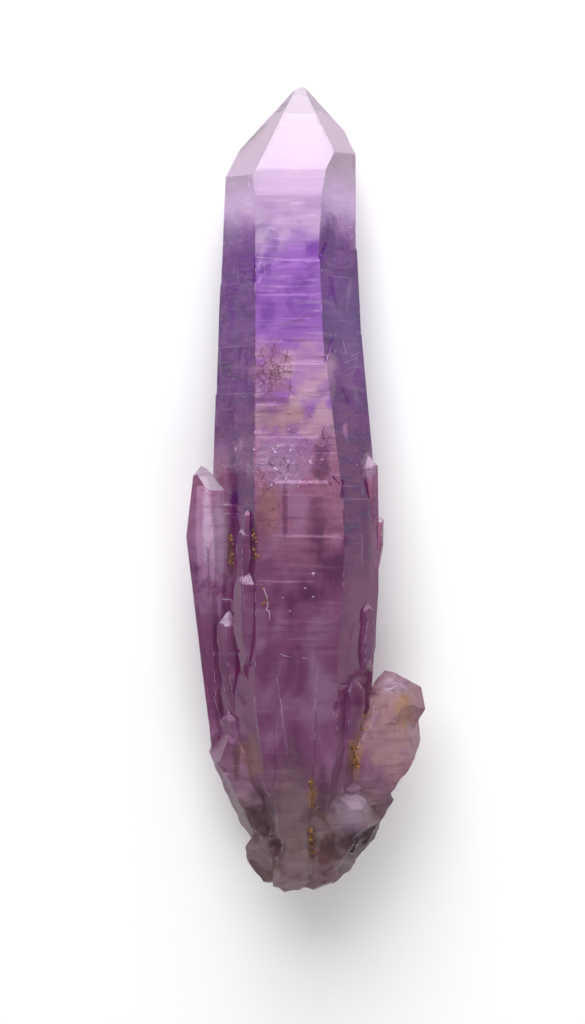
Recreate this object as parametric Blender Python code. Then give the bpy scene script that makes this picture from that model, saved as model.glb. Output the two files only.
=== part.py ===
"""Amethyst crystal: a tapering quartz point with smaller crystals grown along its flanks and a broken root.

It lies on its back prism face. +Y runs along the crystal to its tip, +Z is up and +X is to the right
of someone who looks down on it with the tip pointing away. Lengths are in metres.
"""

import math
import random

import bmesh
import bpy
from mathutils import Matrix, Vector

MM = 0.001

BLOCK = 400 * MM  # the width of the block that every crystal is cut from
FLOOR_GAP = 0.3 * MM  # only the core's back face touches the surface it lies on

# Quartz: a rhombohedral tip face stands this far from the long axis, measured between normals
RHOMB_ANGLE = math.radians(51.79)
LONG_AXIS = Vector((0, 1, 0))

# The six prism faces, counted to the left round the crystal from the one that faces up
FRONT, LEFT_FRONT, LEFT_BACK, BACK, RIGHT_BACK, RIGHT_FRONT = range(6)
CORNER_COS = math.cos(math.radians(30))


def prism_normal(face, twist=0.0):
    """Outward normal of one of the six prism faces."""
    angle = math.radians(90 + 60 * face) + twist
    return Vector((math.cos(angle), 0, math.sin(angle)))


def rhomb_normal(face, twist=0.0):
    """Outward normal of the tip face above a prism face."""
    return prism_normal(face, twist) * math.sin(RHOMB_ANGLE) + LONG_AXIS * math.cos(RHOMB_ANGLE)


def cut_block(name, planes, place=Matrix(), lowest=FLOOR_GAP):
    """A convex solid: a block with everything outside each (point, outward normal) plane cut away."""
    bm = bmesh.new()
    bmesh.ops.create_cube(bm, size=BLOCK)
    planes = [(place @ point, place.to_3x3() @ normal) for point, normal in planes]
    planes.append((Vector((0, 0, lowest)), Vector((0, 0, -1))))
    for point, normal in planes:
        everything = bm.verts[:] + bm.edges[:] + bm.faces[:]
        cut = bmesh.ops.bisect_plane(
            bm, geom=everything, dist=1e-8, plane_co=point, plane_no=normal, clear_outer=True
        )
        rim = [part for part in cut["geom_cut"] if isinstance(part, bmesh.types.BMEdge)]
        if len(rim) > 2:
            bmesh.ops.contextual_create(bm, geom=rim)
    bmesh.ops.recalc_face_normals(bm, faces=bm.faces)
    mesh = bpy.data.meshes.new(name)
    bm.to_mesh(mesh)
    bm.free()
    solid = bpy.data.objects.new(name, mesh)
    bpy.context.scene.collection.objects.link(solid)
    return solid


# The main crystal is four growths, each a sheath over the one before that ends lower in a low ledge.
# A growth has, for each prism face: its distance in mm from the long axis line at LEVEL, its flare
# towards the root per unit of length, and the height in mm at which its tip face begins.
LEVEL = 132 * MM
GROWTHS = {
    "core": {
        FRONT: (23.4, 0.086, 142.1),
        LEFT_FRONT: (19.4, 0.040, 142.6),
        LEFT_BACK: (7.1, 0.035, 148.2),
        BACK: (0.0, 0.0, 152.4),
        RIGHT_BACK: (4.2, 0.0, 152.2),
        RIGHT_FRONT: (15.1, 0.0, 147.3),
    },
    "second": {
        FRONT: (23.52, 0.087, 125.4),
        LEFT_FRONT: (19.5, 0.041, 121.0),
        LEFT_BACK: (7.2, 0.037, 126.0),
        BACK: (-0.4, 0.0, 124.6),
        RIGHT_BACK: (4.5, 0.005, 128.0),
        RIGHT_FRONT: (14.9, 0.080, 133.0),
    },
    "third": {
        FRONT: (23.62, 0.088, 104.9),
        LEFT_FRONT: (19.6, 0.043, 99.0),
        LEFT_BACK: (7.3, 0.039, 107.0),
        BACK: (-0.6, 0.0, 112.0),
        RIGHT_BACK: (4.65, 0.005, 111.0),
        RIGHT_FRONT: (13.44, 0.150, 116.0),
    },
    "sheath": {
        FRONT: (28.0, 0.012, 81.2),
        LEFT_FRONT: (21.2, 0.016, 77.0),
        LEFT_BACK: (8.0, 0.016, 82.0),
        BACK: (-0.5, 0.0, 84.0),
        RIGHT_BACK: (5.3, 0.0, 86.0),
        RIGHT_FRONT: (21.6, 0.003, 78.0),
    },
}
GROWTH_FOOT = {"core": 9 * MM, "second": 55 * MM, "third": 60 * MM, "sheath": 4 * MM}

# Below each of these heights a side of every growth turns to a new flare. Negative draws it in to the root.
SIDE_TURNS = {
    FRONT: ((76 * MM, 0.012), (47 * MM, -0.10), (25 * MM, -0.30)),
    LEFT_FRONT: ((78 * MM, 0.0), (40 * MM, -0.16), (22 * MM, -0.42)),
    LEFT_BACK: ((115 * MM, 0.012), (60 * MM, -0.04), (34 * MM, -0.22)),
    BACK: ((24 * MM, -0.30),),
    RIGHT_BACK: ((60 * MM, -0.06), (36 * MM, -0.18)),
    RIGHT_FRONT: ((78 * MM, 0.0), (60 * MM, -0.06), (28 * MM, -0.26)),
}


def growth_reach(growth, face, height):
    """How far a growth's prism face stands from the long axis line at a height."""
    reach, flare, _ = GROWTHS[growth][face]
    reach *= MM
    at = LEVEL
    for turn, next_flare in SIDE_TURNS[face]:
        if height < turn:
            reach += flare * (at - turn)
            at, flare = turn, next_flare
    return reach + flare * (at - height)


def main_growth(name):
    """One growth of the main crystal as a solid."""
    planes = [(Vector((0, GROWTH_FOOT[name], 0)), -LONG_AXIS)]
    for face, (_, flare, top) in GROWTHS[name].items():
        normal = prism_normal(face)
        top *= MM
        shoulder = normal * growth_reach(name, face, top) + LONG_AXIS * top
        planes.append((shoulder, rhomb_normal(face)))
        for height, side_flare in ((LEVEL, flare), *SIDE_TURNS[face]):
            on_side = normal * growth_reach(name, face, height) + LONG_AXIS * height
            planes.append((on_side, normal + LONG_AXIS * side_flare))
    if name == "core":
        planes.append((STEEP_FOOT, STEEP_NORMAL))
        planes.append((NIPPED_TIP, NIPPED_NORMAL))
    return cut_block(f"{name}_growth", planes, lowest=0 if name == "core" else FLOOR_GAP)


# Between the front prism face and its tip face is a steep band, and the very tip is nipped off
STEEP_TILT = math.radians(17)
STEEP_FOOT = Vector((0, 138.5, 22.84)) * MM
STEEP_NORMAL = Vector((0, math.sin(STEEP_TILT), math.cos(STEEP_TILT)))
NIPPED_TIP = Vector((1.0, 159.1, 9.3)) * MM
NIPPED_NORMAL = Vector((0.06, 0.80, 0.60))


def surface_reach(face, height):
    """How far the main crystal's surface stands from the long axis line at a height."""
    present = [g for g, sides in GROWTHS.items() if height < sides[face][2] * MM]
    return max(growth_reach(g, face, height) for g in present or ["core"])


# How a growth step sits in the crystal: how deep its foot and its root are sunk in, how far its long
# sides stay inside the crystal's edges, and how many times as wide as high its ends slope away
LEDGE_SINK = 0.1 * MM
LEDGE_ROOT = 1.5 * MM
EDGE_INSET = 0.04 * MM
END_SLOPE = 5


def ledge(name, face, top, run, proud, start, end):
    """A low growth step on a prism face: it stands proud at its top and dies into the face below.

    start and end are where it lies across the face, from 0 at the left edge to 1 at the right.
    """
    normal = prism_normal(face)
    across = Vector((normal.z, 0, -normal.x))
    left, right = (face + 1) % 6, (face - 1) % 6
    reach = surface_reach(face, top)
    right_edge = (surface_reach(right, top) - reach / 2) / CORNER_COS
    left_edge = -(surface_reach(left, top) - reach / 2) / CORNER_COS
    foot = top - run
    crest = normal * (reach + proud) + LONG_AXIS * top
    sunk = normal * (surface_reach(face, foot) - LEDGE_SINK) + LONG_AXIS * foot
    slope = (crest - sunk).dot(normal)
    planes = [
        (crest, normal * run - LONG_AXIS * slope),
        (crest, rhomb_normal(face)),
        (sunk, -LONG_AXIS),
        (normal * (reach - LEDGE_ROOT), -normal),
    ]
    for share, side in ((start, -1), (end, 1)):
        u = left_edge + share * (right_edge - left_edge)
        planes.append((normal * reach + across * u + LONG_AXIS * top, across * side + normal * END_SLOPE))
    for beside in (left, right):
        edge = prism_normal(beside) * (surface_reach(beside, top) - EDGE_INSET)
        lean = (surface_reach(beside, foot) - surface_reach(beside, top)) / run
        planes.append((edge + LONG_AXIS * top, prism_normal(beside) + LONG_AXIS * lean))
    return cut_block(name, planes)


# Steps on the front face: top, run down the face, height, and where they start and end across it
FRONT_LEDGES = [
    (118.6, 7.0, 0.08, 0.00, 1.00),
    (96.7, 7.0, 0.18, 0.00, 0.33),
    (90.4, 8.0, 0.10, 0.00, 0.80),
    (70.8, 8.0, 0.10, 0.20, 1.00),
    (62.0, 7.0, 0.08, 0.00, 0.70),
]
# Steps scattered over the other free faces: how many on each, the highest and the stretch they cover
LEDGE_COUNTS = {LEFT_FRONT: 6, LEFT_BACK: 8, RIGHT_BACK: 8, RIGHT_FRONT: 7}
SCATTER_TOP = 130
SCATTER_STRETCH = 92
SCATTER_SEED = 41


def ledges():
    """The growth steps: the ones that show on the front face, then a scatter on every free face."""
    made = [steep_step(step) for step in range(STEEP_STEPS)]
    for i, (top, run, proud, start, end) in enumerate(FRONT_LEDGES):
        made.append(ledge(f"front_ledge_{i}", FRONT, top * MM, run * MM, proud * MM, start, end))
    scatter = random.Random(SCATTER_SEED)
    for face, count in LEDGE_COUNTS.items():
        for i in range(count):
            top = (SCATTER_TOP - SCATTER_STRETCH * (i + scatter.uniform(0.1, 0.9)) / count) * MM
            run = scatter.uniform(4, 11) * MM
            proud = scatter.uniform(0.08, 0.22) * MM
            start = scatter.choice((0.0, scatter.uniform(0.1, 0.5)))
            end = min(1.0, start + scatter.uniform(0.45, 0.9))
            made.append(ledge(f"ledge_{face}_{i}", face, top, run, proud, start, end))
    return made


# Fine steps down the steep band: the crest of the first, the fall of the long axis between two, how
# long and how thick each is, and how far it stays inside the tip faces beside it
STEEP_STEPS = 6
STEEP_CREST = Vector((0, 143.6, 21.0)) * MM
STEEP_FALL = 0.95 * MM
STEEP_LENGTH = 1.6 * MM
STEEP_ROOT = 2 * MM
STEEP_INSET = 0.05 * MM
TREAD_NORMAL = Vector((0, 0.05, 1))


def steep_step(number):
    """One of the fine steps of the steep band under the front tip face."""
    down = STEEP_FALL * number
    crest = STEEP_CREST + Vector((0, -down, down * math.tan(STEEP_TILT)))
    planes = [
        (crest, TREAD_NORMAL),
        (crest, rhomb_normal(FRONT)),
        (crest - LONG_AXIS * STEEP_LENGTH, -LONG_AXIS),
        (crest - Vector((0, 0, STEEP_ROOT)), Vector((0, 0, -1))),
    ]
    for beside in (LEFT_FRONT, RIGHT_FRONT):
        side = prism_normal(beside)
        tip_foot = GROWTHS["core"][beside][2] * MM
        shoulder = side * growth_reach("core", beside, tip_foot) + LONG_AXIS * tip_foot
        planes.append((side * (surface_reach(beside, crest.y) - STEEP_INSET), side))
        planes.append((shoulder - rhomb_normal(beside) * STEEP_INSET, rhomb_normal(beside)))
    return cut_block(f"steep_step_{number}", planes)


# Crystals grown on the flanks. Each has its tip, the distance from its axis to its prism faces, its
# length, how far it leans to the right and to the front (degrees), its turn about its own axis
# (degrees), its flare down to its waist, how it draws in below that, and how much each of its faces
# stands in or out of the regular hexagon.
REGULAR = (1, 1, 1, 1, 1, 1)
FLANK_CRYSTALS = {
    "left_companion": ((-19.7, 84.9, 15.4), 3.5, 58, -2.0, 2.0, -25, 0.14, 0.08, (1.09, 0.68, 0.55, 1, 1, 1.44)),
    "left_companion_low": ((-17.0, 63.0, 8.4), 3.0, 46, -6.0, 0.0, -8, 0.03, 0.13, REGULAR),
    "needle": ((-10.4, 75.9, 26.7), 0.75, 12, 0.0, 1.0, 4, 0.03, 0.1, REGULAR),
    "edge_crystal_upper": ((-10.7, 73.1, 26.0), 1.45, 18, 0.5, 1.0, -6, 0.03, 0.13, (1.1, 1, 1, 1, 1, 0.9)),
    "edge_crystal_lower": ((-9.7, 65.0, 25.9), 2.9, 34, -1.0, 4.0, 3, 0.03, 0.13, (0.95, 1, 1, 1, 1, 1)),
    "edge_crystal_low": ((-14.2, 56.0, 20.4), 2.3, 30, -5.0, 4.0, -10, 0.03, 0.13, REGULAR),
    "right_crystal": ((13.6, 86.8, 17.2), 1.75, 34, 0.5, 1.5, 8, 0.02, 0.13, (1, 1, 1, 1, 0.9, 1)),
    "right_crystal_low": ((16.0, 74.7, 15.6), 0.9, 16, 2.4, 0.5, -10, 0.02, 0.13, (1, 1, 1, 1, 0.7, 0.7)),
    "right_blade": ((12.4, 58.5, 19.8), 1.9, 30, 2.5, 4.0, 5, 0.03, 0.13, REGULAR),
    "front_column": ((-0.7, 51.5, 23.4), 5.2, 50, 1.0, 1.9, 0, 0.0, 0.075, (1, 1.17, 1, 1, 1, 1.17)),
    "front_rib": ((-7.6, 42.0, 24.4), 2.5, 38, -5.0, 3.6, -12, 0.0, 0.1, REGULAR),
    "right_column": ((8.4, 45.5, 21.2), 4.2, 40, 3.0, 3.0, 8, 0.0, 0.1, REGULAR),
    "left_rib": ((-13.6, 38.0, 17.6), 2.8, 30, -14.0, 4.0, -4, 0.02, 0.13, REGULAR),
    "back_left_crystal": ((-12.6, 88.0, 6.6), 2.6, 50, 1.0, -0.5, 6, 0.05, 0.13, REGULAR),
    "back_left_low": ((-14.4, 50.0, 6.4), 2.4, 34, -5.0, 0.0, -16, 0.05, 0.13, REGULAR),
    "back_right_crystal": ((9.6, 102.0, 7.4), 2.2, 60, -1.5, 0.5, 3, 0.035, 0.13, REGULAR),
    "back_right_low": ((12.0, 64.0, 7.2), 3.2, 42, 3.0, 1.0, -9, 0.03, 0.13, REGULAR),
}
SMALL_TIP_FACE = 0.22  # how far every second tip face stands out, as a share of that distance
WAIST_SHARE = 0.36  # each is widest this share of its length below its tip
COMPANION_WAIST = 14 * MM
BROKEN_FOOT = Vector((0.15, -1, 0.55))  # the way the broken lower end of each one faces
STRIP_WIDTH = 1.2 * MM  # the narrow bright face down the front edge of the left companion


def flank_crystal(name):
    """One whole quartz crystal with a pointed tip, leaning out of the main one."""
    tip, apothem, length, right_lean, front_lean, turn, flare, draw, faces = FLANK_CRYSTALS[name]
    apothem, length, turn = apothem * MM, length * MM, math.radians(turn)
    place = (
        Matrix.Translation(Vector(tip) * MM)
        @ Matrix.Rotation(math.radians(-right_lean), 4, "Z")
        @ Matrix.Rotation(math.radians(front_lean), 4, "X")
    )
    shoulder = apothem * math.tan(RHOMB_ANGLE)
    waist = COMPANION_WAIST if name == "left_companion" else WAIST_SHARE * length
    planes = [(-LONG_AXIS * length, BROKEN_FOOT)]
    for face, stand in enumerate(faces):
        normal = prism_normal(face, turn)
        planes.append((normal * apothem * stand - LONG_AXIS * shoulder, normal + LONG_AXIS * flare))
        small_face = SMALL_TIP_FACE * apothem if face % 2 else 0.0
        planes.append((LONG_AXIS * small_face, rhomb_normal(face, turn)))
        reach = apothem * stand + flare * (waist - shoulder)
        planes.append((normal * reach - LONG_AXIS * waist, normal - LONG_AXIS * draw))
    if name == "left_companion":
        planes += companion_strip(apothem, flare, shoulder, turn, faces)
    return cut_block(name, planes, place)


def companion_strip(apothem, flare, shoulder, turn, faces):
    """The narrow face that takes off the edge between the companion's two front prism faces."""
    here, beside = prism_normal(FRONT, turn), prism_normal(LEFT_FRONT, turn)
    corner = Matrix((here, beside, LONG_AXIS)).inverted() @ Vector((faces[FRONT], faces[LEFT_FRONT], 0))
    strip = (here + beside).normalized()
    edge = corner * apothem - strip * STRIP_WIDTH * 0.5 * math.tan(math.radians(30))
    return [(edge - LONG_AXIS * shoulder, strip + LONG_AXIS * flare)]


# Broken lumps of the root: centre, half sizes, lean to the right (degrees) and the seed of their faces
ROOT_LUMPS = {
    "root_heel": ((0.5, 10.0, 13.5), (10.2, 9.6, 11.0), 0, 3),
    "root_left": ((-7.2, 17.5, 13.5), (6.6, 13.5, 10.0), -24, 8),
    "root_right": ((7.8, 14.0, 12.5), (7.6, 10.5, 9.5), 18, 5),
    "root_front": ((5.6, 12.5, 19.0), (6.0, 9.6, 4.8), 8, 12),
    "root_toe": ((2.6, 4.4, 15.8), (5.4, 4.4, 5.6), 0, 21),
    "pale_block": ((10.2, 15.6, 20.6), (4.6, 4.6, 4.2), -32, 17),
    "spur": ((14.7, 28.0, 16.2), (5.2, 15.0, 6.0), 20, 31),
    "spur_cap": ((18.0, 37.2, 16.8), (4.5, 7.1, 4.8), 6, 35),
    "spur_foot": ((12.4, 18.0, 15.0), (5.0, 9.0, 6.4), 10, 36),
    "left_scar": ((-11.2, 25.0, 13.0), (5.0, 12.0, 8.4), -14, 44),
}
LUMP_FACES = 30
DEEPEST_BREAK = 0.84  # the deepest break face of a lump, as a share of its half size


def root_lump(name):
    """A broken piece of the root: a rounded lump cut by flat break faces at all angles."""
    centre, half, right_lean, seed = ROOT_LUMPS[name]
    place = Matrix.Translation(Vector(centre) * MM) @ Matrix.Rotation(math.radians(-right_lean), 4, "Z")
    breaks = random.Random(seed)
    planes = []
    for _ in range(LUMP_FACES):
        way = Vector([breaks.gauss(0, 1) for _ in range(3)]).normalized()
        radius = Vector([w * h * MM for w, h in zip(way, half)]).length
        planes.append((way * radius * breaks.uniform(DEEPEST_BREAK, 1.0), way))
    return cut_block(name, planes, place)


# Shell-shaped scars: centre and radius of the ball that leaves each one
SCARS = {
    "scar_left": ((-9.4, 17.4, 26.6), 4.2),
    "scar_left_low": ((-10.6, 10.4, 21.2), 2.6),
    "scar_low": ((-5.8, 9.6, 24.4), 2.4),
    "scar_right": ((8.2, 36.6, 31.0), 3.6),
    "scar_spur": ((24.9, 30.0, 20.8), 3.6),
}


def scar(name):
    """The ball that leaves a shell-shaped scar."""
    centre, radius = SCARS[name]
    bpy.ops.mesh.primitive_ico_sphere_add(subdivisions=3, radius=radius * MM, location=Vector(centre) * MM)
    ball = bpy.context.object
    ball.name = name
    return ball


def join(whole, piece, operation):
    """Adds a Boolean of a helper solid, which then no longer shows."""
    step = whole.modifiers.new(piece.name, "BOOLEAN")
    step.operation = operation
    step.solver = "EXACT"
    step.object = piece
    piece.hide_render = True
    piece.display_type = "WIRE"


def amethyst_material():
    """Clear violet quartz."""
    material = bpy.data.materials.new("amethyst")
    material.use_nodes = True
    shader = material.node_tree.nodes["Principled BSDF"]
    shader.inputs["Base Color"].default_value = (0.42, 0.25, 0.45, 1)
    shader.inputs["Roughness"].default_value = 0.12
    shader.inputs["Metallic"].default_value = 0.0
    shader.inputs["Transmission Weight"].default_value = 0.9
    shader.inputs["IOR"].default_value = 1.544
    return material


def set_on_origin(whole):
    """Moves everything so that the middle of the base of the crystal's box is at the origin."""
    bpy.context.view_layer.update()
    shape = whole.evaluated_get(bpy.context.evaluated_depsgraph_get()).to_mesh()
    corners = [whole.matrix_world @ v.co for v in shape.vertices]
    low = Vector([min(c[i] for c in corners) for i in range(3)])
    high = Vector([max(c[i] for c in corners) for i in range(3)])
    stand = bpy.data.objects.new("stand", None)
    bpy.context.scene.collection.objects.link(stand)
    for solid in [o for o in bpy.data.objects if o.type == "MESH"]:
        solid.parent = stand
    stand.location = -Vector(((low.x + high.x) / 2, (low.y + high.y) / 2, low.z))


def build():
    for old in list(bpy.data.objects):
        bpy.data.objects.remove(old)
    crystal = main_growth("core")
    crystal.name = "amethyst_crystal"
    pieces = [main_growth(name) for name in GROWTHS if name != "core"]
    pieces += [flank_crystal(name) for name in FLANK_CRYSTALS]
    pieces += [root_lump(name) for name in ROOT_LUMPS]
    pieces += ledges()
    for piece in pieces:
        join(crystal, piece, "UNION")
    for name in SCARS:
        join(crystal, scar(name), "DIFFERENCE")
    crystal.data.materials.append(amethyst_material())
    set_on_origin(crystal)


build()
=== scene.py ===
"""Looks of an amethyst crystal, laid on its back prism face on a pale studio floor.

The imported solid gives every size. The camera looks straight down, with the tip at the top of the picture.
"""

import bisect
import math
import random

import bmesh
import bpy
from mathutils import Matrix, Vector, noise
from mathutils.bvhtree import BVHTree


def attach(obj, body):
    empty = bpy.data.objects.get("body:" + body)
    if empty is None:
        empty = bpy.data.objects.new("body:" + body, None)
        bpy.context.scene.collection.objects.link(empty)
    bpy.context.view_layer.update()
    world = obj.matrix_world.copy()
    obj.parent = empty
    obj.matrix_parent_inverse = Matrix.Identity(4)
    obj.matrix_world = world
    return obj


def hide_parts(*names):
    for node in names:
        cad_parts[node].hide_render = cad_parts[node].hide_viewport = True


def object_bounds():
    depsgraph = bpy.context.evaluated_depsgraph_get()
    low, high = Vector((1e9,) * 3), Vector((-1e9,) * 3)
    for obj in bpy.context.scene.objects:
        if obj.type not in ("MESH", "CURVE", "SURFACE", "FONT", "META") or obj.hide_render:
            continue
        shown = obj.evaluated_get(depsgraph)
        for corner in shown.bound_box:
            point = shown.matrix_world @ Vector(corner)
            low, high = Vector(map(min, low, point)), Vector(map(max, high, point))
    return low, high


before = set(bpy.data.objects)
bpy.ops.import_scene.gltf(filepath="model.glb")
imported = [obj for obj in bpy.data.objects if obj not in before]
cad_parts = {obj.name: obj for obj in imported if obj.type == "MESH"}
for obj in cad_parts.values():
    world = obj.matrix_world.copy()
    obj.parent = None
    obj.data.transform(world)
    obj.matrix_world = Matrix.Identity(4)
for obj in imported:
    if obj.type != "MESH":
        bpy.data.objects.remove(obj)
cad_low, cad_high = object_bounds()
MM = 0.001

# Studio
# A pale matt floor under an even sky, a large soft lamp high beyond the tip and a weaker one beyond the
# root, and a low panel beyond the tip, which the steep front tip face mirrors up to the camera.

# Places on the crystal are given from its long axis line and the foot of the small facet at its tip:
# how far to the right as seen from above, how far down, and how high over the floor, in millimetres.
AXIS_FROM_LEFT = 22.67 * MM
NIPPED_FACET = 0.9 * MM
AXIS_X = cad_low.x + AXIS_FROM_LEFT
TIP_Y = cad_high.y - NIPPED_FACET


def spot(right, down, up):
    """A point on or in the crystal."""
    return Vector((AXIS_X + right * MM, TIP_Y - down * MM, up * MM))


FLOOR_WIDTH = 8.0
FLOOR_GAP = 0.2 * MM  # keeps the floor from touching the clear face that lies on it
FLOOR_WHITE = (0.92, 0.92, 0.92, 1)
FLOOR_ROUGHNESS = 0.9
SKY_TINT = (0.97, 0.97, 1.0, 1)
SKY_STRENGTH = 0.4
CAMERA_HEIGHT = 1.2
CAMERA_REACH = 20.0
PICTURE_HEIGHT = 203.8 * MM  # what the long side of the picture takes in at the crystal's middle height
SENSOR = 36.0
MIDDLE = spot(-1.5, 84.5, 18)

floor_mesh = bmesh.new()
under = Matrix.Translation((0, 0, -FLOOR_GAP))
bmesh.ops.create_grid(floor_mesh, x_segments=1, y_segments=1, size=FLOOR_WIDTH / 2, matrix=under)
floor_data = bpy.data.meshes.new("floor")
floor_mesh.to_mesh(floor_data)
floor_mesh.free()
floor = bpy.data.objects.new("floor", floor_data)
bpy.context.scene.collection.objects.link(floor)
floor_paint = bpy.data.materials.new("floor_paint")
floor_paint.use_nodes = True
floor_shader = floor_paint.node_tree.nodes["Principled BSDF"]
floor_shader.inputs["Base Color"].default_value = FLOOR_WHITE
floor_shader.inputs["Roughness"].default_value = FLOOR_ROUGHNESS
floor_data.materials.append(floor_paint)

sky = bpy.data.worlds.new("sky")
sky.use_nodes = True
sky_shader = sky.node_tree.nodes["Background"]
sky_shader.inputs["Color"].default_value = SKY_TINT
sky_shader.inputs["Strength"].default_value = SKY_STRENGTH
bpy.context.scene.world = sky


def lamp(name, place, aim, width, height, watts):
    """A soft rectangular lamp that shines from a place at a point."""
    data = bpy.data.lights.new(name, "AREA")
    data.shape = "RECTANGLE"
    data.size = width
    data.size_y = height
    data.energy = watts
    made = bpy.data.objects.new(name, data)
    bpy.context.scene.collection.objects.link(made)
    made.location = place
    made.rotation_euler = (aim - place).to_track_quat("-Z", "Y").to_euler()
    made.visible_camera = False


lamp("main_lamp", place=Vector((-0.3, 1.1, 1.2)), aim=MIDDLE, width=1.4, height=1.2, watts=19)
lamp("fill_lamp", place=Vector((0.3, -0.95, 1.1)), aim=MIDDLE, width=1.4, height=1.0, watts=7)
beyond_tip = spot(0, 0, 10) + Vector((0, 0.42, 0.12))
lamp("tip_panel", place=beyond_tip, aim=spot(0, 8, 15), width=0.50, height=0.28, watts=2.9)

camera_data = bpy.data.cameras.new("camera")
camera = bpy.data.objects.new("camera", camera_data)
bpy.context.scene.collection.objects.link(camera)
bpy.context.scene.camera = camera
camera.location = MIDDLE + Vector((0, 0, CAMERA_HEIGHT))
camera_data.sensor_width = SENSOR
camera_data.lens = SENSOR * CAMERA_HEIGHT / PICTURE_HEIGHT
camera_data.clip_end = CAMERA_REACH
bpy.context.scene.view_settings.view_transform = "Standard"


# Crystal body
# One piece of quartz. Fine steps cross its grown faces where growth switched between the prism and the
# tip faces: each is a thin strip tilted like a tip face over a long flat tread. Its root is broken.
COLUMN_STEP = 1.3 * MM
LAYER_STEP = 1.6 * MM
CUT_UNEVENNESS = (0.25, 0.75)  # where in its step a cut may lie
CUT_TOLERANCE = 1e-7
SAME_CORNER = 2e-6
RESTING = 0.4 * MM  # the surface below this height stays as it is, flat on the floor
SLIVER = 0.03 * MM  # corners closer than this are merged, so that no face is a sliver
SHARP_ANGLE = math.radians(16)
CRYSTAL_LENGTH = (cad_high.y - cad_low.y) / MM

# The forms below are in millimetres, and their places are how far down from the tip they start
FIRST_STEP = 0.5
STEPLESS_END = 4  # no step starts this near the end of the root
STEP_STRIP = 0.1  # width of the tilted strip of a growth step
STEP_TREADS = (0.25, 0.9)  # shortest and longest tread between two strips
STEP_RISE = 0.04  # highest strip
STEP_REACH = 0.3  # waves to a millimetre in how far a step runs across the face
STEP_CHANGE = 3.7  # how much that differs from one step to the next
SWELL_HEIGHT = 0.05  # slow waves of the grown faces
SWELL_WAVES = 0.11  # waves to a millimetre
SWELL_SHIFT = Vector((31, 7, 3))
TIP_LEAN = 0.3  # a face that looks toward the tip by more than this has fewer steps
TIP_LEAN_FADE = 0.2  # how much more it has to look there to have none
ROOT_TOP = 122  # where the broken root starts
ROOT_FADE = 16  # how much further down it is fully broken
ROOT_ROWS = 124  # where its rows of corners start
BROKEN_ROW = 0.45  # spacing of the rows of corners on the broken root
BROKEN_RELIEF = 0.3
BROKEN_LUMPS = 0.4  # lumps to a millimetre
BROKEN_DETAIL = 4


def slice_up(shape, faces, way, marks):
    """Cuts faces across at each mark along a direction, halving the set each time to keep cuts small."""
    if not marks or not faces:
        return
    middle = len(marks) // 2
    level = marks[middle]
    corners = {v for f in faces for v in f.verts}
    edges = {e for f in faces for e in f.edges}
    cut = bmesh.ops.bisect_plane(
        shape, geom=[*corners, *edges, *faces], dist=CUT_TOLERANCE, plane_co=way * level, plane_no=way
    )
    faces = [part for part in cut["geom"] if isinstance(part, bmesh.types.BMFace)]
    below = [f for f in faces if f.calc_center_median().dot(way) < level]
    above = [f for f in faces if f.calc_center_median().dot(way) >= level]
    slice_up(shape, below, way, marks[:middle])
    slice_up(shape, above, way, marks[middle + 1 :])


def marks_between(start, end, step, seed):
    """Levels from start to end, a step apart with a little unevenness."""
    uneven = random.Random(seed)
    count = int((end - start) / step)
    return [start + step * (i + uneven.uniform(*CUT_UNEVENNESS)) for i in range(count)]


def step_tops(seed):
    """How far down from the tip each growth step starts, in millimetres."""
    uneven = random.Random(seed)
    tops = [FIRST_STEP]
    while tops[-1] < CRYSTAL_LENGTH - STEPLESS_END:
        tops.append(tops[-1] + STEP_STRIP + uneven.uniform(*STEP_TREADS))
    return tops


STEP_TOPS = step_tops(seed=5)


def step_rise(down, fine):
    """Height of the growth steps at a point: up over the strip, then slowly down along the tread."""
    number = max(0, bisect.bisect_right(STEP_TOPS, down) - 1)
    top = STEP_TOPS[number]
    tread = STEP_TOPS[min(number + 1, len(STEP_TOPS) - 1)] - top
    reach = noise.noise(Vector((fine.x * STEP_REACH, number * STEP_CHANGE, fine.z * STEP_REACH)))
    rise = STEP_RISE * min(1.0, max(0.0, 2 * reach))
    if down < top + STEP_STRIP:
        return rise * max(0.0, down - top) / STEP_STRIP
    return rise * max(0.0, 1 - (down - top - STEP_STRIP) / max(0.01, tread - STEP_STRIP))


def surface_rise(place, outward):
    """How far the real surface stands off the flat solid at a point, in millimetres."""
    down = (TIP_Y - place.y) / MM
    fine = place / MM
    swell = SWELL_HEIGHT * noise.noise(fine * SWELL_WAVES + SWELL_SHIFT)
    on_tip = min(1.0, max(0.0, (outward.y - TIP_LEAN) / TIP_LEAN_FADE))
    grown = step_rise(down, fine) * (1 - on_tip) + swell
    broken = BROKEN_RELIEF * (noise.turbulence(fine * BROKEN_LUMPS, BROKEN_DETAIL, False) - 0.5)
    share = min(1.0, max(0.0, (down - ROOT_TOP) / ROOT_FADE))
    return grown * (1 - share) + broken * share


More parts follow.
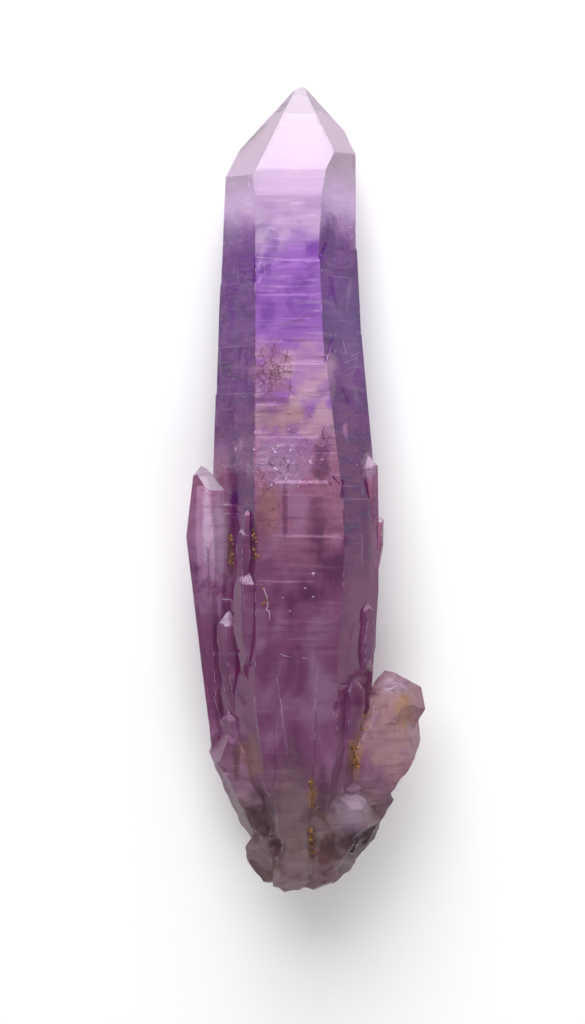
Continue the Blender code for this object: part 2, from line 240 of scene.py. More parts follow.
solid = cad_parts["amethyst_crystal"]
shape = bmesh.new()
shape.from_mesh(solid.data)
bmesh.ops.remove_doubles(shape, verts=shape.verts, dist=SAME_CORNER)
downs = [level for top in STEP_TOPS if top < ROOT_TOP for level in (top, top + STEP_STRIP)]
downs += marks_between(ROOT_ROWS, CRYSTAL_LENGTH, BROKEN_ROW, seed=8)
rows = sorted(TIP_Y - down * MM for down in downs)
columns = marks_between(cad_low.x, cad_high.x, COLUMN_STEP, seed=6)
layers = marks_between(cad_low.z, cad_high.z, LAYER_STEP, seed=7)
slice_up(shape, shape.faces[:], Vector((0, 1, 0)), rows)
slice_up(shape, shape.faces[:], Vector((1, 0, 0)), columns)
slice_up(shape, shape.faces[:], Vector((0, 0, 1)), layers)
bmesh.ops.remove_doubles(shape, verts=shape.verts, dist=SLIVER)
bmesh.ops.dissolve_degenerate(shape, edges=shape.edges, dist=SLIVER / 2)
bmesh.ops.triangulate(shape, faces=shape.faces)
shape.normal_update()
moves = [(v, surface_rise(v.co, v.normal) * MM * v.normal) for v in shape.verts if v.co.z > RESTING]
for corner, move in moves:
    corner.co += move
    corner.co.z = max(corner.co.z, RESTING / 2)
for face in shape.faces:
    face.smooth = face.calc_center_median().y < TIP_Y - ROOT_TOP * MM
crystal_data = bpy.data.meshes.new("crystal_body")
shape.to_mesh(crystal_data)
outside = BVHTree.FromBMesh(shape)
shape.free()
crystal_data.set_sharp_from_angle(angle=SHARP_ANGLE)
crystal = bpy.data.objects.new("crystal_body", crystal_data)
bpy.context.scene.collection.objects.link(crystal)


class Signal:
    """A shader socket that can be added, subtracted and multiplied like a number."""

    def __init__(self, tree, socket):
        self.tree = tree
        self.socket = socket

    def node(self, kind, settings=None, **values):
        """Any other node: its settings are set first, then the values or links of its sockets."""
        made = self.tree.nodes.new(kind)
        for name, value in (settings or {}).items():
            setattr(made, name, value)
        for name, value in values.items():
            key = int(name[1:]) if name[0] == "i" and name[1:].isdigit() else name.replace("_", " ")
            socket = made.inputs[key]
            if isinstance(value, Signal):
                self.tree.links.new(value.socket, socket)
            else:
                socket.default_value = value
        return made

    def maths(self, operation, first, second=0.0):
        made = self.node("ShaderNodeMath", {"operation": operation}, i0=first, i1=second)
        return Signal(self.tree, made.outputs[0])

    def __add__(self, other):
        return self.maths("ADD", self, other)

    def __radd__(self, other):
        return self.maths("ADD", other, self)

    def __sub__(self, other):
        return self.maths("SUBTRACT", self, other)

    def __rsub__(self, other):
        return self.maths("SUBTRACT", other, self)

    def __mul__(self, other):
        return self.maths("MULTIPLY", self, other)

    def __rmul__(self, other):
        return self.maths("MULTIPLY", other, self)

    def __truediv__(self, other):
        return self.maths("DIVIDE", self, other)

    def ramp(self, low, high):
        """0 where this is at low or less, 1 where it is at high or more, smooth between."""
        settings = {"interpolation_type": "SMOOTHSTEP"}
        made = self.node("ShaderNodeMapRange", settings, Value=self, From_Min=low, From_Max=high)
        return Signal(self.tree, made.outputs[0])

    def bump_at(self, centre, width):
        """1 at centre, fading to 0 a width away on both sides."""
        return self.ramp(centre - width, centre) * (1 - self.ramp(centre, centre + width))


def new_material(name, **values):
    """A Principled material with plain values, and a signal to start expressions from."""
    material = bpy.data.materials.new(name)
    material.use_nodes = True
    tree = material.node_tree
    shader = tree.nodes["Principled BSDF"]
    for socket, value in values.items():
        shader.inputs[socket.replace("_", " ")].default_value = value
    place = tree.nodes.new("ShaderNodeTexCoord")
    return material, shader, Signal(tree, place.outputs["Object"])


def grain(place, scale, detail=3.0, rough=0.5, distortion=0.0, stretch=(1, 1, 1), shift=(0, 0, 0)):
    """Soft noise from 0 to 1, with lumps of about one over scale, stretched and shifted as asked."""
    mapped = place.node("ShaderNodeMapping", Vector=place, Scale=stretch, Location=shift)
    where = Signal(place.tree, mapped.outputs[0])
    made = place.node(
        "ShaderNodeTexNoise",
        Vector=where,
        Scale=scale,
        Detail=detail,
        Roughness=rough,
        Distortion=distortion,
    )
    return Signal(place.tree, made.outputs[0])


def mix(colour, other, share):
    """Blends two colours, each a signal or a plain colour."""
    made = share.node("ShaderNodeMix", {"data_type": "RGBA"}, i0=share, i6=colour, i7=other)
    return Signal(share.tree, made.outputs[2])


SCREEN_GAMMA = 2.2


def screen_colour(red, green, blue):
    """A colour as it looks on a screen, each part 0 to 255, in the even steps of light a shader takes."""
    return (*[(part / 255) ** SCREEN_GAMMA for part in (red, green, blue)], 1)


# The amethyst's colour lies in zones along its length: nearly clear at the tip, strong violet below
# it, rose-brown and violet through the middle, and dusky mauve turning grey and cloudy at the root.
TIP_PALE = screen_colour(252, 240, 250)
LILAC = screen_colour(250, 224, 255)
VIOLET = screen_colour(204, 144, 236)
DEEP_VIOLET = screen_colour(150, 90, 198)
ROSE = screen_colour(252, 210, 228)
DUSKY_ROSE = screen_colour(204, 138, 170)
MAUVE = screen_colour(160, 100, 140)
DARK_MAUVE = screen_colour(122, 72, 110)
MILKY = screen_colour(206, 166, 204)
ROOT_GREY = screen_colour(158, 136, 134)
STAIN = screen_colour(104, 74, 58)
# Painted shade in the hollows, pits and crevices of the root; the larger pit on its left also holds dark
# brown inclusions.
HOLLOW_SHADE = screen_colour(50, 26, 28)
# Painted shade: the side faces of the tip are made greyer than its front, standing in for the lesser light
# on them.
SHADED_TIP_GREY = screen_colour(208, 190, 204)
# The side colours are darker and deeper than the front's: painted shade for the dim surroundings the steep
# side faces mirror, laid over the crystal's own violet. They hold almost no green, to make up for the pale
# floor these faces mirror.
SHADED_SIDE_VIOLET = screen_colour(112, 10, 144)
SHADED_SIDE_DARK = screen_colour(84, 0, 110)
SHADED_SIDE_GREY = screen_colour(130, 74, 148)
CHIPPED = screen_colour(132, 122, 136)
SHADED_SIDE_MAROON = screen_colour(116, 20, 96)
SHADED_SIDE_MAUVE = screen_colour(146, 48, 112)
SPUR_PINK = screen_colour(204, 166, 166)
TAN = screen_colour(196, 152, 104)
SLATE = screen_colour(108, 80, 146)
GLINT_PINK = screen_colour(240, 150, 210)
# Pale frost colour: frosted quartz, and in one patch on the left flank crystal a painted highlight.
FROST_AND_HIGHLIGHT = screen_colour(222, 204, 224)
# Painted highlight: faces of small crystals that look toward the tip, where the lamps are, are made nearly
# white.
TIP_FACE_HIGHLIGHT = screen_colour(246, 236, 248)
QUARTZ_IOR = 1.544
TIP_FACING = (0.3, 0.45)  # how far toward the tip a face has to look to count as a tip face
SIDE_FACING = (0.08, 0.4)  # the same for a side face, squared
ZONE_WANDER = 8  # how far the edge of a colour zone wanders, in millimetres
PHANTOM_PEAK = 27  # how far down from the tip the inner violet peak starts, in millimetres
PEAK_FALL = 0.08  # how fast the peak falls off beside the axis
PEAK_DEPTH = 3.5  # how far it falls at most, in millimetres
RAGGEDNESS = 3.2  # how uneven the rim of a patch is
PATCH_FADE = (1.5, 0.1)  # where the rim of a patch starts and ends, as a share of its size, squared
POLISH = 0.08  # roughness of the clear grown faces
CLOUDY_ROUGHNESS = 0.14  # what the clouds add to it
ROOT_ROUGHNESS = 0.35  # what the broken root adds to it
STEP_RELIEF = 0.2 * MM
STEP_STRENGTH = 0.25
ABSORBED = (0.52, 0.16, 0.66, 1)
ABSORPTION_DENSITY = 14.0

amethyst, amethyst_shader, place = new_material(
    "amethyst_quartz",
    IOR=QUARTZ_IOR,
    Transmission_Weight=0.68,
    Specular_IOR_Level=0.2,
    Specular_Tint=screen_colour(190, 155, 195),
)
split = place.node("ShaderNodeSeparateXYZ", Vector=place)
across = (Signal(place.tree, split.outputs[0]) - AXIS_X) / MM
along = Signal(place.tree, split.outputs[1])
down_mm = (TIP_Y - along) / MM
facing = place.node("ShaderNodeNewGeometry")
facing = place.node("ShaderNodeSeparateXYZ", Vector=Signal(place.tree, facing.outputs["Normal"]))
sideways = Signal(place.tree, facing.outputs[0])
tipward = Signal(place.tree, facing.outputs[1]).ramp(*TIP_FACING)
on_side = (sideways * sideways).ramp(*SIDE_FACING)

# A ramp of zone or down_mm says where a colour starts and where it is full, in millimetres down from the
# tip. A ramp of one of the soft noises says how much of the surface the colour takes.
wander = grain(place, scale=70, detail=2, rough=0.55, distortion=0.6) - 0.5
patches = grain(place, scale=190, detail=2, rough=0.55, distortion=0.3)
clouds = grain(place, scale=120, rough=0.6, distortion=0.4, stretch=(1, 0.6, 1), shift=(0.02, 0, 0))
bands = grain(place, scale=240, rough=0.65, distortion=0.4, stretch=(0.5, 1.8, 0.5))
streaks = grain(place, scale=330, rough=0.6, distortion=0.2, stretch=(0.2, 2.6, 0.2))
speckle_glints = grain(place, scale=1500, detail=2)
rag = grain(place, scale=300, detail=2, rough=0.65) - 0.5
zone = down_mm + wander * ZONE_WANDER
peak = zone - place.maths("MINIMUM", across * across * PEAK_FALL, PEAK_DEPTH)
colour = mix(TIP_PALE, LILAC, zone.ramp(12, 22))
colour = mix(colour, VIOLET, peak.ramp(PHANTOM_PEAK, PHANTOM_PEAK + 8))
colour = mix(colour, DEEP_VIOLET, down_mm.bump_at(36, 18) * patches.ramp(0.42, 0.7))
colour = mix(colour, ROSE, zone.ramp(48, 58) * patches.ramp(0.62, 0.4) * (1 - on_side))
colour = mix(colour, DUSKY_ROSE, zone.ramp(64, 76))
colour = mix(colour, MAUVE, zone.ramp(84, 102))
colour = mix(colour, DARK_MAUVE, zone.ramp(76, 96) * clouds.ramp(0.48, 0.68))
colour = mix(colour, MILKY, down_mm.ramp(40, 70) * clouds.ramp(0.52, 0.3) * 0.55)
colour = mix(colour, ROOT_GREY, zone.ramp(130, 148))
colour = mix(colour, STAIN, down_mm.ramp(134, 150) * patches.ramp(0.5, 0.62) * 0.8)
# Painted shade: faces that look to the side take the darker side colours below, which still follow the
# zones along the crystal.
shaded_side = mix(SHADED_SIDE_VIOLET, SHADED_SIDE_GREY, clouds.ramp(0.44, 0.62))
shaded_side = mix(shaded_side, SHADED_SIDE_MAROON, zone.ramp(56, 74) * 0.8)
shaded_side = mix(shaded_side, SHADED_SIDE_MAUVE, zone.ramp(84, 104))
shaded_side = mix(shaded_side, SHADED_SIDE_DARK, bands.ramp(0.46, 0.6) * (0.9 - 0.4 * down_mm.ramp(84, 100)))
flank = (across * across).ramp(13**2, 15**2) * down_mm.ramp(68, 74)
# painted shade on the side faces of the tip
colour = mix(colour, SHADED_TIP_GREY, on_side * (1 - zone.ramp(14, 24)))
colour = mix(colour, shaded_side, on_side * zone.ramp(22, 33) * (1 - zone.ramp(112, 132)) * (1 - 0.7 * flank))
colour = mix(colour, DARK_MAUVE, bands.ramp(0.56, 0.7) * down_mm.ramp(50, 64) * (1 - on_side) * 0.4)
ragged = rag * RAGGEDNESS
seen = place.node("ShaderNodeCombineXYZ", X=across, Y=down_mm)
seen = Signal(place.tree, seen.outputs[0])


def patch(right, down, half_width, half_length):
    """1 in the middle of a ragged oval on the crystal as seen from above, fading to 0 around it."""
    scale = (1 / half_width, 1 / half_length, 0)
    centre = (-right / half_width, -down / half_length, 0)
    off = seen.node("ShaderNodeVectorMath", {"operation": "MULTIPLY_ADD"}, i0=seen, i1=scale, i2=centre)
    off = Signal(seen.tree, off.outputs["Vector"])
    spread = seen.node("ShaderNodeVectorMath", {"operation": "DOT_PRODUCT"}, i0=off, i1=off)
    return (Signal(seen.tree, spread.outputs["Value"]) + ragged).ramp(*PATCH_FADE)


# Marks that lie on some faces only: the chipped left rim of the tip, the blue-grey window of the right
# face, a painted dark line of shade along the left edge of the front face, the glittering band, and a
# painted highlight on the tip faces of small crystals
left_rim = (across + 0.94 * down_mm).ramp(0.6, -0.7) * (1 - down_mm.ramp(11.5, 13))
colour = mix(colour, CHIPPED, left_rim * on_side * rag.ramp(-0.2, 0.05) * 0.8)
colour = mix(colour, SLATE, patch(9.5, 48, 4.5, 9) * on_side * 0.6)
# painted shade: a dark line along the rounded left edge of the front face, where the edge bends the light
# away
front_edge_shade = across.bump_at(-9.1, 0.45) * down_mm.bump_at(54, 27)
colour = mix(colour, SHADED_SIDE_MAROON, front_edge_shade * rag.ramp(-0.15, 0.1))
colour = mix(colour, MILKY, patch(-3.5, 74, 9.5, 5.5) * (0.3 + 0.7 * clouds.ramp(0.55, 0.4)))
# painted highlight on the tip faces of two small crystals
colour = mix(colour, TIP_FACE_HIGHLIGHT, tipward * patch(-10.6, 88.2, 1.8, 2.2) * 0.9)
colour = mix(colour, TIP_FACE_HIGHLIGHT, tipward * patch(-9.5, 97.2, 3.0, 2.6) * 0.9)
PATCHES = (
    # tint, right of the axis, down from the tip, half width, half length, share of the tint
    (SHADED_SIDE_DARK, 6.0, 30, 1.7, 5, 0.8),
    (DEEP_VIOLET, -5.5, 31.5, 1.6, 2.6, 0.5),
    (DEEP_VIOLET, -6.5, 45.5, 1.6, 3.5, 0.6),
    (DUSKY_ROSE, -5.5, 56.5, 4.2, 6.5, 0.5),
    (ROSE, 2.0, 56.5, 5.0, 6.5, 0.5),
    (MILKY, -12.2, 54, 1.3, 8, 0.08),
    (MILKY, -12, 69, 2.4, 8, 0.1),
    (TAN, -3.0, 66.0, 6.0, 3.6, 0.35),
    (GLINT_PINK, 9.0, 68.4, 0.6, 1.6, 0.8),
    (DARK_MAUVE, 4.2, 75, 1.8, 4.5, 0.7),
    (TAN, -6.5, 84, 2.6, 5.5, 0.35),
    (MILKY, -0.4, 84, 2.4, 4.2, 0.5),
    (DARK_MAUVE, -3.0, 85, 0.6, 6, 0.6),
    (DARK_MAUVE, 3.2, 87, 2.0, 5, 0.5),
    (MAUVE, -9.8, 98, 4.5, 17, 0.55),
    (MAUVE, 12.5, 106, 3.0, 12, 0.55),
    (MILKY, -18.2, 90, 4.5, 15, 0.5),
    (FROST_AND_HIGHLIGHT, -16.2, 91, 1.9, 8, 0.6),
    # painted highlight on the lit left facet of the left flank crystal
    (FROST_AND_HIGHLIGHT, -18.7, 85, 0.8, 10, 0.5),
    (FROST_AND_HIGHLIGHT, 13.8, 75.5, 1.6, 2.6, 0.6),
    (STAIN, -13.7, 92, 0.8, 4.5, 0.8),
    (STAIN, -9.0, 91, 0.6, 4, 0.6),
    (SPUR_PINK, 18.5, 126, 6.5, 12, 0.9),
    (TAN, 20.5, 124.5, 2.0, 3.5, 0.7),
    (FROST_AND_HIGHLIGHT, 18.5, 119, 3.4, 1.5, 0.6),
    (TAN, 10.9, 133.2, 1.5, 4.5, 0.7),
    (TAN, -9.9, 133.5, 2.2, 5, 0.45),
    (STAIN, -12.6, 133.5, 0.7, 5, 0.6),
    (ROOT_GREY, -1.5, 146, 2.6, 14, 0.7),
    (TAN, 2.4, 140, 0.8, 3.4, 0.7),
    (STAIN, 2.4, 150, 1.0, 3.6, 0.8),
    (FROST_AND_HIGHLIGHT, 10.2, 144.5, 4.2, 4, 0.5),
    # painted shade in the root's hollows, pits and crevices; the larger pit on the left also holds dark
    # brown inclusions
    (HOLLOW_SHADE, 12.0, 150.5, 5.5, 3.4, 0.85),
    (HOLLOW_SHADE, -7.5, 144.5, 3.2, 5.5, 0.6),
    (HOLLOW_SHADE, 4.6, 139.5, 1.4, 4.5, 0.5),
    (HOLLOW_SHADE, -4.5, 151.5, 1.8, 2.2, 0.5),
)
for tint, right, down, half_width, half_length, share in PATCHES:
    colour = mix(colour, tint, patch(right, down, half_width, half_length) * share)
# painted highlight on the tip faces of the flank crystals
colour = mix(colour, TIP_FACE_HIGHLIGHT, tipward * flank * (1 - down_mm.ramp(106, 120)) * 0.8)
# Painted highlight: short light streaks where the growth striations would catch the light.
streak_highlights = streaks.ramp(0.56, 0.74) * (0.16 + 0.24 * down_mm.bump_at(50, 22)) * (1 - 0.6 * on_side)
colour = mix(colour, LILAC, streak_highlights)
dark_streaks = streaks.ramp(0.46, 0.3) * down_mm.ramp(28, 42) * (0.4 - 0.15 * on_side)
colour = mix(colour, DARK_MAUVE, dark_streaks)
# Painted glints: fine light speckles on the side faces, strongest toward the tip.
colour = mix(colour, LILAC, speckle_glints.ramp(0.68, 0.74) * on_side * (0.7 - 0.5 * down_mm.ramp(60, 100)))
place.tree.links.new(colour.socket, amethyst_shader.inputs["Base Color"])
roughness = POLISH + CLOUDY_ROUGHNESS * clouds.ramp(0.5, 0.75) + ROOT_ROUGHNESS * down_mm.ramp(118, 140)
place.tree.links.new(roughness.socket, amethyst_shader.inputs["Roughness"])
fine_steps = grain(place, scale=420, detail=1, rough=0.6, stretch=(0.22, 3.2, 0.22))
bump = place.node("ShaderNodeBump", Height=fine_steps, Strength=STEP_STRENGTH, Distance=STEP_RELIEF)
place.tree.links.new(bump.outputs[0], amethyst_shader.inputs["Normal"])

absorption = place.node("ShaderNodeVolumeAbsorption", Color=ABSORBED, Density=ABSORPTION_DENSITY)
output = place.tree.nodes["Material Output"]
place.tree.links.new(absorption.outputs[0], output.inputs["Volume"])

crystal_data.materials.clear()
crystal_data.materials.append(amethyst)
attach(crystal, "root")
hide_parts("amethyst_crystal")


# Worn and glinting edges
# The corners between crystal faces are chipped and rounded, and show as thin whitish lines, strongest on
# the small flank crystals and on the ribs of the root: partly the real whitening of chipped quartz, partly
# a painted highlight of the light these edges catch.
THREAD_SIDES = 5
SHORTEST_PIECE = 1e-6


def strand(shape, points, width, taper=0.6):
    """A thin thread through points, thinner toward its end."""
    for number, (start, end) in enumerate(zip(points, points[1:])):
        way = end - start
        if way.length < SHORTEST_PIECE:
            continue
        turn = way.to_track_quat("Z", "Y").to_matrix().to_4x4()
        thick = 1 - taper * number / len(points)
        bmesh.ops.create_cone(
            shape,
            cap_ends=True,
            segments=THREAD_SIDES,
            radius1=width / 2 * thick * MM,
            radius2=width / 2 * (thick - taper / len(points)) * MM,
            depth=way.length,
            matrix=Matrix.Translation((start + end) / 2) @ turn,
        )


def finished_piece(name, shape, material):
    """Makes the object of a small piece and ties it to the crystal."""
    data = bpy.data.meshes.new(name)
    shape.to_mesh(data)
    shape.free()
    data.materials.append(material)
    made = bpy.data.objects.new(name, data)
    bpy.context.scene.collection.objects.link(made)
    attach(made, "root")


EDGE_ANGLE = math.radians(32)
EDGE_UPWARD = 0.1  # how far up one face of an edge has to look
CROSSWISE = 0.6  # an edge that runs along the crystal by a smaller share of its length lies crosswise
MAIN_HALF_WIDTH = 13  # within it crosswise edges above the root stay clean, in millimetres
ROOT_RIBS = 118  # how far down from the tip the worn ribs of the root start, in millimetres
FLANK_START = 74  # how far down from the tip the flank crystals start, in millimetres
FLANK_INSIDE = 8  # how near the axis they come, in millimetres
WORN, CLEAN = -0.1, -0.3  # how readily an edge is chipped
CHIP_LENGTH = 0.9  # millimetres
CHIP_WIDTH = (0.03, 0.08)  # millimetres
CHIP_CLUSTERS = (0.3, 0.45)  # how fast the chips change from edge to edge and along an edge
# Whitish paint of the worn edges, scratches and pits: partly the real whitening of chipped and scratched
# quartz, partly painted highlight.
chipped_edge_and_glint_paint = new_material(
    "worn_and_glinting_edge",
    Base_Color=screen_colour(198, 172, 198),
    Roughness=0.4,
    IOR=QUARTZ_IOR,
    Transmission_Weight=0.3,
)[0]
edges = bmesh.new()
chance = random.Random(61)
corners = bmesh.new()
corners.from_mesh(solid.data)
bmesh.ops.remove_doubles(corners, verts=corners.verts, dist=SAME_CORNER)
for edge in corners.edges:
    if len(edge.link_faces) != 2 or edge.calc_face_angle_signed(0) < EDGE_ANGLE:
        continue
    if max(face.normal.z for face in edge.link_faces) < EDGE_UPWARD:
        continue
    start, end = (v.co for v in edge.verts)
    middle = (start + end) / 2
    off_axis = abs(middle.x - AXIS_X) / MM
    down = (TIP_Y - middle.y) / MM
    crossing = abs(start.y - end.y) < CROSSWISE * edge.calc_length()
    if crossing and off_axis < MAIN_HALF_WIDTH and down < ROOT_RIBS:
        continue
    on_flank = off_axis > FLANK_INSIDE and down > FLANK_START
    kept = WORN if on_flank or down > ROOT_RIBS else CLEAN
    chips = max(1, round(edge.calc_length() / MM / CHIP_LENGTH))
    for number in range(chips):
        spared = noise.noise(middle / MM * CHIP_CLUSTERS[0] + Vector((number * CHIP_CLUSTERS[1], 0, 0)))
        if chance.random() < kept + 2 * spared:
            chip = [start.lerp(end, (number + share) / chips) for share in (0, 1)]
            strand(edges, chip, chance.uniform(*CHIP_WIDTH), taper=0.3)
corners.free()
finished_piece("worn_and_glinting_edges", edges, chipped_edge_and_glint_paint)


# Scratches, edge glints and pits
# Fine bright scratches and cracks that come to the surface, painted glints along some crystal edges, and
# small triangular pits. Knocks and rubbing left the scratches and growth left the pits, which are drawn as
# whitish triangles, a painted glint of the light their facets catch.
CLEAR_ABOVE = 60  # a height above the whole crystal, in millimetres
JUST_UNDER = 0.02  # how deep a crack or a thread lies at its middle, in millimetres


def on_surface(right, down, sink=0.0):
    """The point on the crystal's upper side at a place seen from above, sunk in by some millimetres.

    The second thing given back is the way the surface faces there. Beside the crystal both are None.
    """
    above = spot(right, down, CLEAR_ABOVE)
    hit = outside.ray_cast(above, Vector((0, 0, -1)))
    if hit[0] is None:
        return None, None
    return hit[0] - hit[1] * sink * MM, hit[1]


SCRATCHES_AND_EDGE_GLINTS = (
    # start and end, each right of the axis and down from the tip, width, unevenness
    ((-8.7, 34.0), (0.2, 34.8), 0.10, 0.12),
    # the next five are no scratches: they are painted glints along the edges of small crystals in the lower
    # body and root
    ((-4.6, 117.2), (-4.0, 121.0), 0.09, 0.2),
    ((-4.0, 121.0), (-2.4, 133.5), 0.11, 0.35),
    ((3.4, 115.2), (2.2, 131.5), 0.07, 0.35),
    ((13.6, 106.3), (12.2, 113.0), 0.10, 0.25),
    ((-17.2, 121.2), (-15.6, 127.0), 0.12, 0.3),
    ((-7.0, 99.2), (-6.0, 105.5), 0.24, 0.45),
    ((-11.4, 96.0), (-11.0, 104.0), 0.10, 0.2),
    ((-3.8, 112.6), (-1.4, 113.3), 0.10, 0.3),
    ((0.4, 113.3), (2.0, 113.6), 0.10, 0.3),
    ((10.0, 53.6), (12.6, 52.2), 0.07, 0.05),
    ((9.0, 54.8), (12.6, 53.0), 0.07, 0.05),
    ((9.4, 56.0), (12.8, 54.4), 0.06, 0.05),
    ((9.2, 57.4), (11.4, 56.4), 0.06, 0.05),
    ((9.6, 27.6), (11.4, 31.4), 0.08, 0.15),
    ((11.4, 27.8), (9.8, 30.2), 0.08, 0.15),
    ((10.6, 30.6), (11.6, 36.4), 0.06, 0.2),
    ((8.6, 50.6), (9.2, 53.0), 0.12, 0.2),
    ((-13.0, 26.2), (-11.0, 30.2), 0.07, 0.2),
    ((-14.4, 31.0), (-9.8, 30.6), 0.06, 0.15),
    ((-3.4, 12.9), (-2.6, 15.8), 0.05, 0.1),
    ((15.2, 120.5), (20.5, 118.5), 0.22, 0.5),
    ((15.0, 122.5), (14.0, 127.5), 0.20, 0.4),
)
SCRATCH_PIECE = 0.6  # length of one straight piece of a scratch, in millimetres
SCRATCH_SPREAD = 0.3  # how far a bend goes sideways, as a share of the unevenness
PIT_RISE = 0.01  # how far a pit's face stands off the crystal, in millimetres
# Each pit is drawn as a flat whitish triangle just off the surface: a painted glint of the light its facet
# catches.
GLINTING_PITS = (
    # right of the axis, down from the tip, size
    (2.6, 96.6, 0.42),
    (1.0, 99.5, 0.26),
    (2.6, 101.2, 0.26),
    (-3.4, 101.4, 0.2),
    (-2.0, 104.0, 0.2),
)
scratches_and_glints = bmesh.new()
chance = random.Random(73)
for (right_from, down_from), (right_to, down_to), width, uneven in SCRATCHES_AND_EDGE_GLINTS:
    length = math.hypot(right_to - right_from, down_to - down_from)
    count = max(3, round(length / SCRATCH_PIECE))
    points = []
    for number in range(count + 1):
        share = number / count
        right = right_from + (right_to - right_from) * share + chance.gauss(0, uneven * SCRATCH_SPREAD)
        down = down_from + (down_to - down_from) * share + chance.gauss(0, uneven * SCRATCH_SPREAD)
        middle = on_surface(right, down, JUST_UNDER)[0]
        if middle is not None:
            points.append(middle)
    strand(scratches_and_glints, points, width, taper=0.5)
for right, down, size in GLINTING_PITS:
    middle, outward = on_surface(right, down, -PIT_RISE)
    turn = outward.to_track_quat("Z", "Y").to_matrix().to_4x4()
    bmesh.ops.create_circle(
        scratches_and_glints, cap_ends=True, segments=3, radius=size * MM, matrix=Matrix.Translation(middle) @ turn
    )
finished_piece("scratches_and_glints", scratches_and_glints, chipped_edge_and_glint_paint)


# Healed fractures
# Thin inner cracks that closed again while the crystal grew. Tiny flat flakes of trapped fluid glitter
# in a white-lilac band across the middle, and in smaller clouds above it, between fine bright cracks.
FLAKE_CLOUDS = (
    # right of the axis, down from the tip, half width, half length, least and most depth, flakes
    (-4.5, 74, 10.0, 6.0, 0.0, 2.0, 620),
    (-6.0, 56, 4.0, 6.0, 0.2, 2.5, 90),
    (10.5, 31, 1.6, 4.5, 0.2, 1.2, 40),
    (-11.5, 30, 1.8, 5.0, 0.2, 1.5, 36),
    (-11.0, 66, 2.5, 12.0, 0.2, 1.5, 70),
    (11.5, 72, 2.0, 8.0, 0.2, 1.2, 50),
)
FLAKE_SIZE = (0.12, 0.55)  # smallest and largest radius, in millimetres
FLAKE_SLIMNESS = (0.35, 0.9)
FLAKE_UNEVENNESS = 0.06  # millimetres
FLAKE_CORNERS = 7
FLUID_IOR = 1.33
CLOUD_SPREAD = 0.45  # how far flakes and threads lie from the middle of their cloud, as a share of its size

# Cracks and mineral threads are laid in short straight pieces
THREAD_STEP = 0.55  # length of one piece, in millimetres
THREAD_TURN = 24  # how far it turns from piece to piece, in degrees
BRANCHING = 0.35  # how often a branch leaves it
BRANCH_TURN = (35, 70)  # in degrees
BRANCH_WIDTH = 0.75  # as a share of the thread's width
TWIG_WIDTH = 0.06  # a thread no wider than this has no branches, in millimetres
CRACK_WIDTH = 0.05  # millimetres
CRACK_HEADINGS = 70  # in degrees
# right of the axis, down from the tip, half width, half length, steps of a crack, cracks
CRACK_CLOUD = (-4.5, 74, 11.0, 6.0, 4, 120)
flake_paint = new_material(
    "healed_fracture", Base_Color=screen_colour(226, 200, 232), Roughness=0.25, IOR=FLUID_IOR
)[0]


def grow(shape, right, down, heading, steps, width, chance):
    """A thread of short steps that wanders and branches, kept just under the surface."""
    points = []
    for step in range(steps):
        middle = on_surface(right, down, JUST_UNDER)[0]
        if middle is None:
            break
        points.append(middle)
        heading += chance.gauss(0, THREAD_TURN)
        right += math.sin(math.radians(heading)) * THREAD_STEP
        down += math.cos(math.radians(heading)) * THREAD_STEP
        if width > TWIG_WIDTH and chance.random() < BRANCHING:
            branch = heading + chance.choice((-1, 1)) * chance.uniform(*BRANCH_TURN)
            grow(shape, right, down, branch, steps - step - 2, width * BRANCH_WIDTH, chance)
    strand(shape, points, width)


def grow_cloud(shape, cloud, width, spread, chance):
    """Threads from chance places in an oval, each heading down toward the root give or take the spread."""
    right, down, half_width, half_length, steps, count = cloud
    for number in range(count):
        start_right = right + chance.gauss(0, CLOUD_SPREAD) * half_width
        start_down = down + chance.gauss(0, CLOUD_SPREAD) * half_length
        grow(shape, start_right, start_down, chance.gauss(0, spread), steps, width, chance)


flakes = bmesh.new()
chance = random.Random(11)
grow_cloud(flakes, CRACK_CLOUD, CRACK_WIDTH, CRACK_HEADINGS, chance)
for right, down, half_width, half_length, least, most, count in FLAKE_CLOUDS:
    for number in range(count):
        off_right = chance.gauss(0, CLOUD_SPREAD) * half_width
        off_down = chance.gauss(0, CLOUD_SPREAD) * half_length
        middle = on_surface(right + off_right, down + off_down, chance.uniform(least, most))[0]
        if middle is None:
            continue
        tilt = Vector([chance.gauss(0, 1) for i in range(3)])
        turn = tilt.to_track_quat("Z", "Y").to_matrix().to_4x4()
        stretch = Matrix.Diagonal((1, chance.uniform(*FLAKE_SLIMNESS), 1, 1))
        made = bmesh.ops.create_circle(
            flakes,
            cap_ends=True,
            segments=FLAKE_CORNERS,
            radius=chance.uniform(*FLAKE_SIZE) * MM,
            matrix=Matrix.Translation(middle) @ turn @ stretch,
        )
        for corner in made["verts"]:
            shift = [chance.uniform(-FLAKE_UNEVENNESS, FLAKE_UNEVENNESS) * MM for i in range(3)]
            corner.co += Vector(shift)
finished_piece("healed_fractures", flakes, flake_paint)


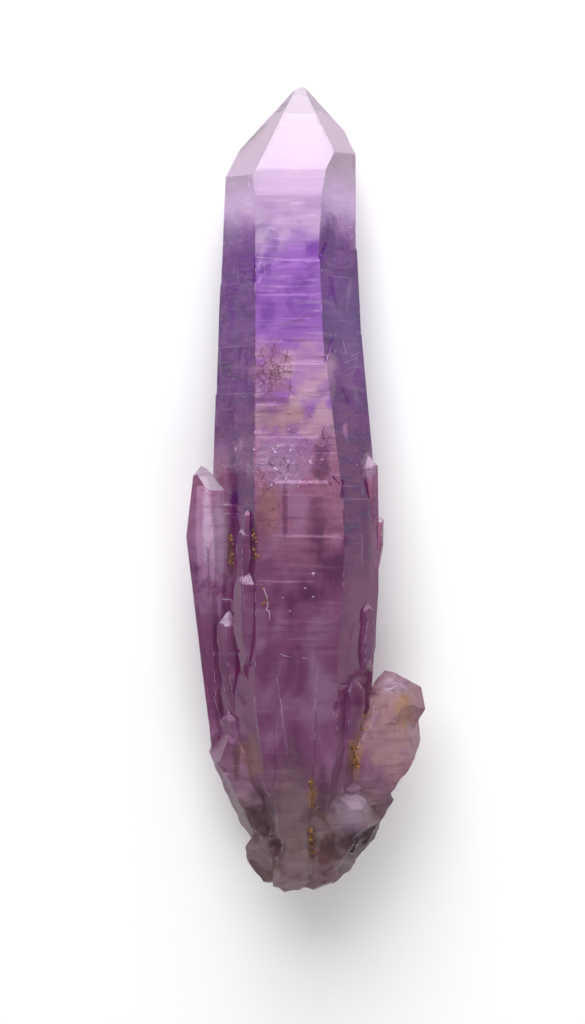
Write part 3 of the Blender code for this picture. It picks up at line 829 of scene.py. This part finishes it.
# Dendrites
# Dark brown mineral threads that branch inside the crystal, close under its front face. They are most
# likely thin films of iron or manganese oxide that crept along fine cracks.
dendrite_paint = new_material("dendrite", Base_Color=screen_colour(84, 44, 56), Roughness=0.6)[0]
DENDRITE_CLOUDS = (
    # right of the axis, down from the tip, half width, half length, steps of a thread, threads
    (-5.8, 55.5, 3.4, 6.5, 8, 34),
    (-2.0, 59.0, 1.2, 2.0, 7, 4),
    (-3.5, 75.5, 9.0, 5.0, 4, 30),
    (5.0, 68.5, 1.6, 2.5, 6, 6),
    (2.0, 64.8, 0.8, 0.8, 3, 2),
    (-5.0, 84.0, 3.5, 4.5, 4, 12),
)
DENDRITE_WIDTH = 0.13  # millimetres
DENDRITE_HEADINGS = 35  # in degrees
CROSS_CRACK = ((-3.4, 47.6), (3.4, 45.0))  # start and end of a dark crack across the front face
CROSS_THREADS = 30
CROSS_SPREAD = 0.12  # millimetres
CROSS_WIDTH = (0.06, 0.14)  # millimetres
dendrites = bmesh.new()
chance = random.Random(23)
for cloud in DENDRITE_CLOUDS:
    grow_cloud(dendrites, cloud, DENDRITE_WIDTH, DENDRITE_HEADINGS, chance)
(right_from, down_from), (right_to, down_to) = CROSS_CRACK
for number in range(CROSS_THREADS):
    share = number / CROSS_THREADS
    right = right_from + (right_to - right_from) * share + chance.gauss(0, CROSS_SPREAD)
    down = down_from + (down_to - down_from) * share + chance.gauss(0, CROSS_SPREAD)
    width = chance.uniform(*CROSS_WIDTH)
    grow(dendrites, right, down, heading=90, steps=2, width=width, chance=chance)
finished_piece("dendrites", dendrites, dendrite_paint)


# Limonite
# Rust-coloured grains of iron oxide, packed in the crevices between the crystals and on the root, where
# they settled in the ground.
limonite_paint, limonite_shader, place = new_material("limonite", Roughness=0.75)
tone = grain(place, scale=900).ramp(0.35, 0.65)
rust = mix(screen_colour(154, 106, 56), screen_colour(74, 50, 32), tone)
place.tree.links.new(rust.socket, limonite_shader.inputs["Base Color"])
LIMONITE_LINES = (
    # start and end of a crevice, each right of the axis and down from the tip, and its grains
    ((-13.9, 89), (-13.5, 95.5), 56),
    ((-9.2, 87.5), (-8.9, 94), 24),
    ((-7.6, 98), (-6.6, 103), 8),
    ((10.2, 130), (11.4, 135.5), 90),
    ((2.2, 137.5), (2.6, 143), 50),
    ((2.0, 147), (2.6, 153), 60),
    ((13.5, 124), (12.2, 128), 16),
)
GRAIN_SIZE = (0.10, 0.34)  # smallest and largest radius, in millimetres
GRAIN_SPREAD = 0.36  # how far grains lie beside their line, in millimetres
GRAIN_SINK = 0.08  # how deep they are sunk in, in millimetres
GRAIN_UNEVENNESS = 0.25  # as a share of the radius
limonite = bmesh.new()
chance = random.Random(37)
for (right_from, down_from), (right_to, down_to), count in LIMONITE_LINES:
    for number in range(count):
        share = chance.random()
        right = right_from + (right_to - right_from) * share + chance.gauss(0, GRAIN_SPREAD)
        down = down_from + (down_to - down_from) * share
        middle = on_surface(right, down, GRAIN_SINK)[0]
        if middle is None:
            continue
        size = chance.uniform(*GRAIN_SIZE) * MM
        centre = Matrix.Translation(middle)
        made = bmesh.ops.create_icosphere(limonite, subdivisions=1, radius=size, matrix=centre)
        for corner in made["verts"]:
            shift = [chance.uniform(-GRAIN_UNEVENNESS, GRAIN_UNEVENNESS) * size for i in range(3)]
            corner.co += Vector(shift)
finished_piece("limonite", limonite, limonite_paint)
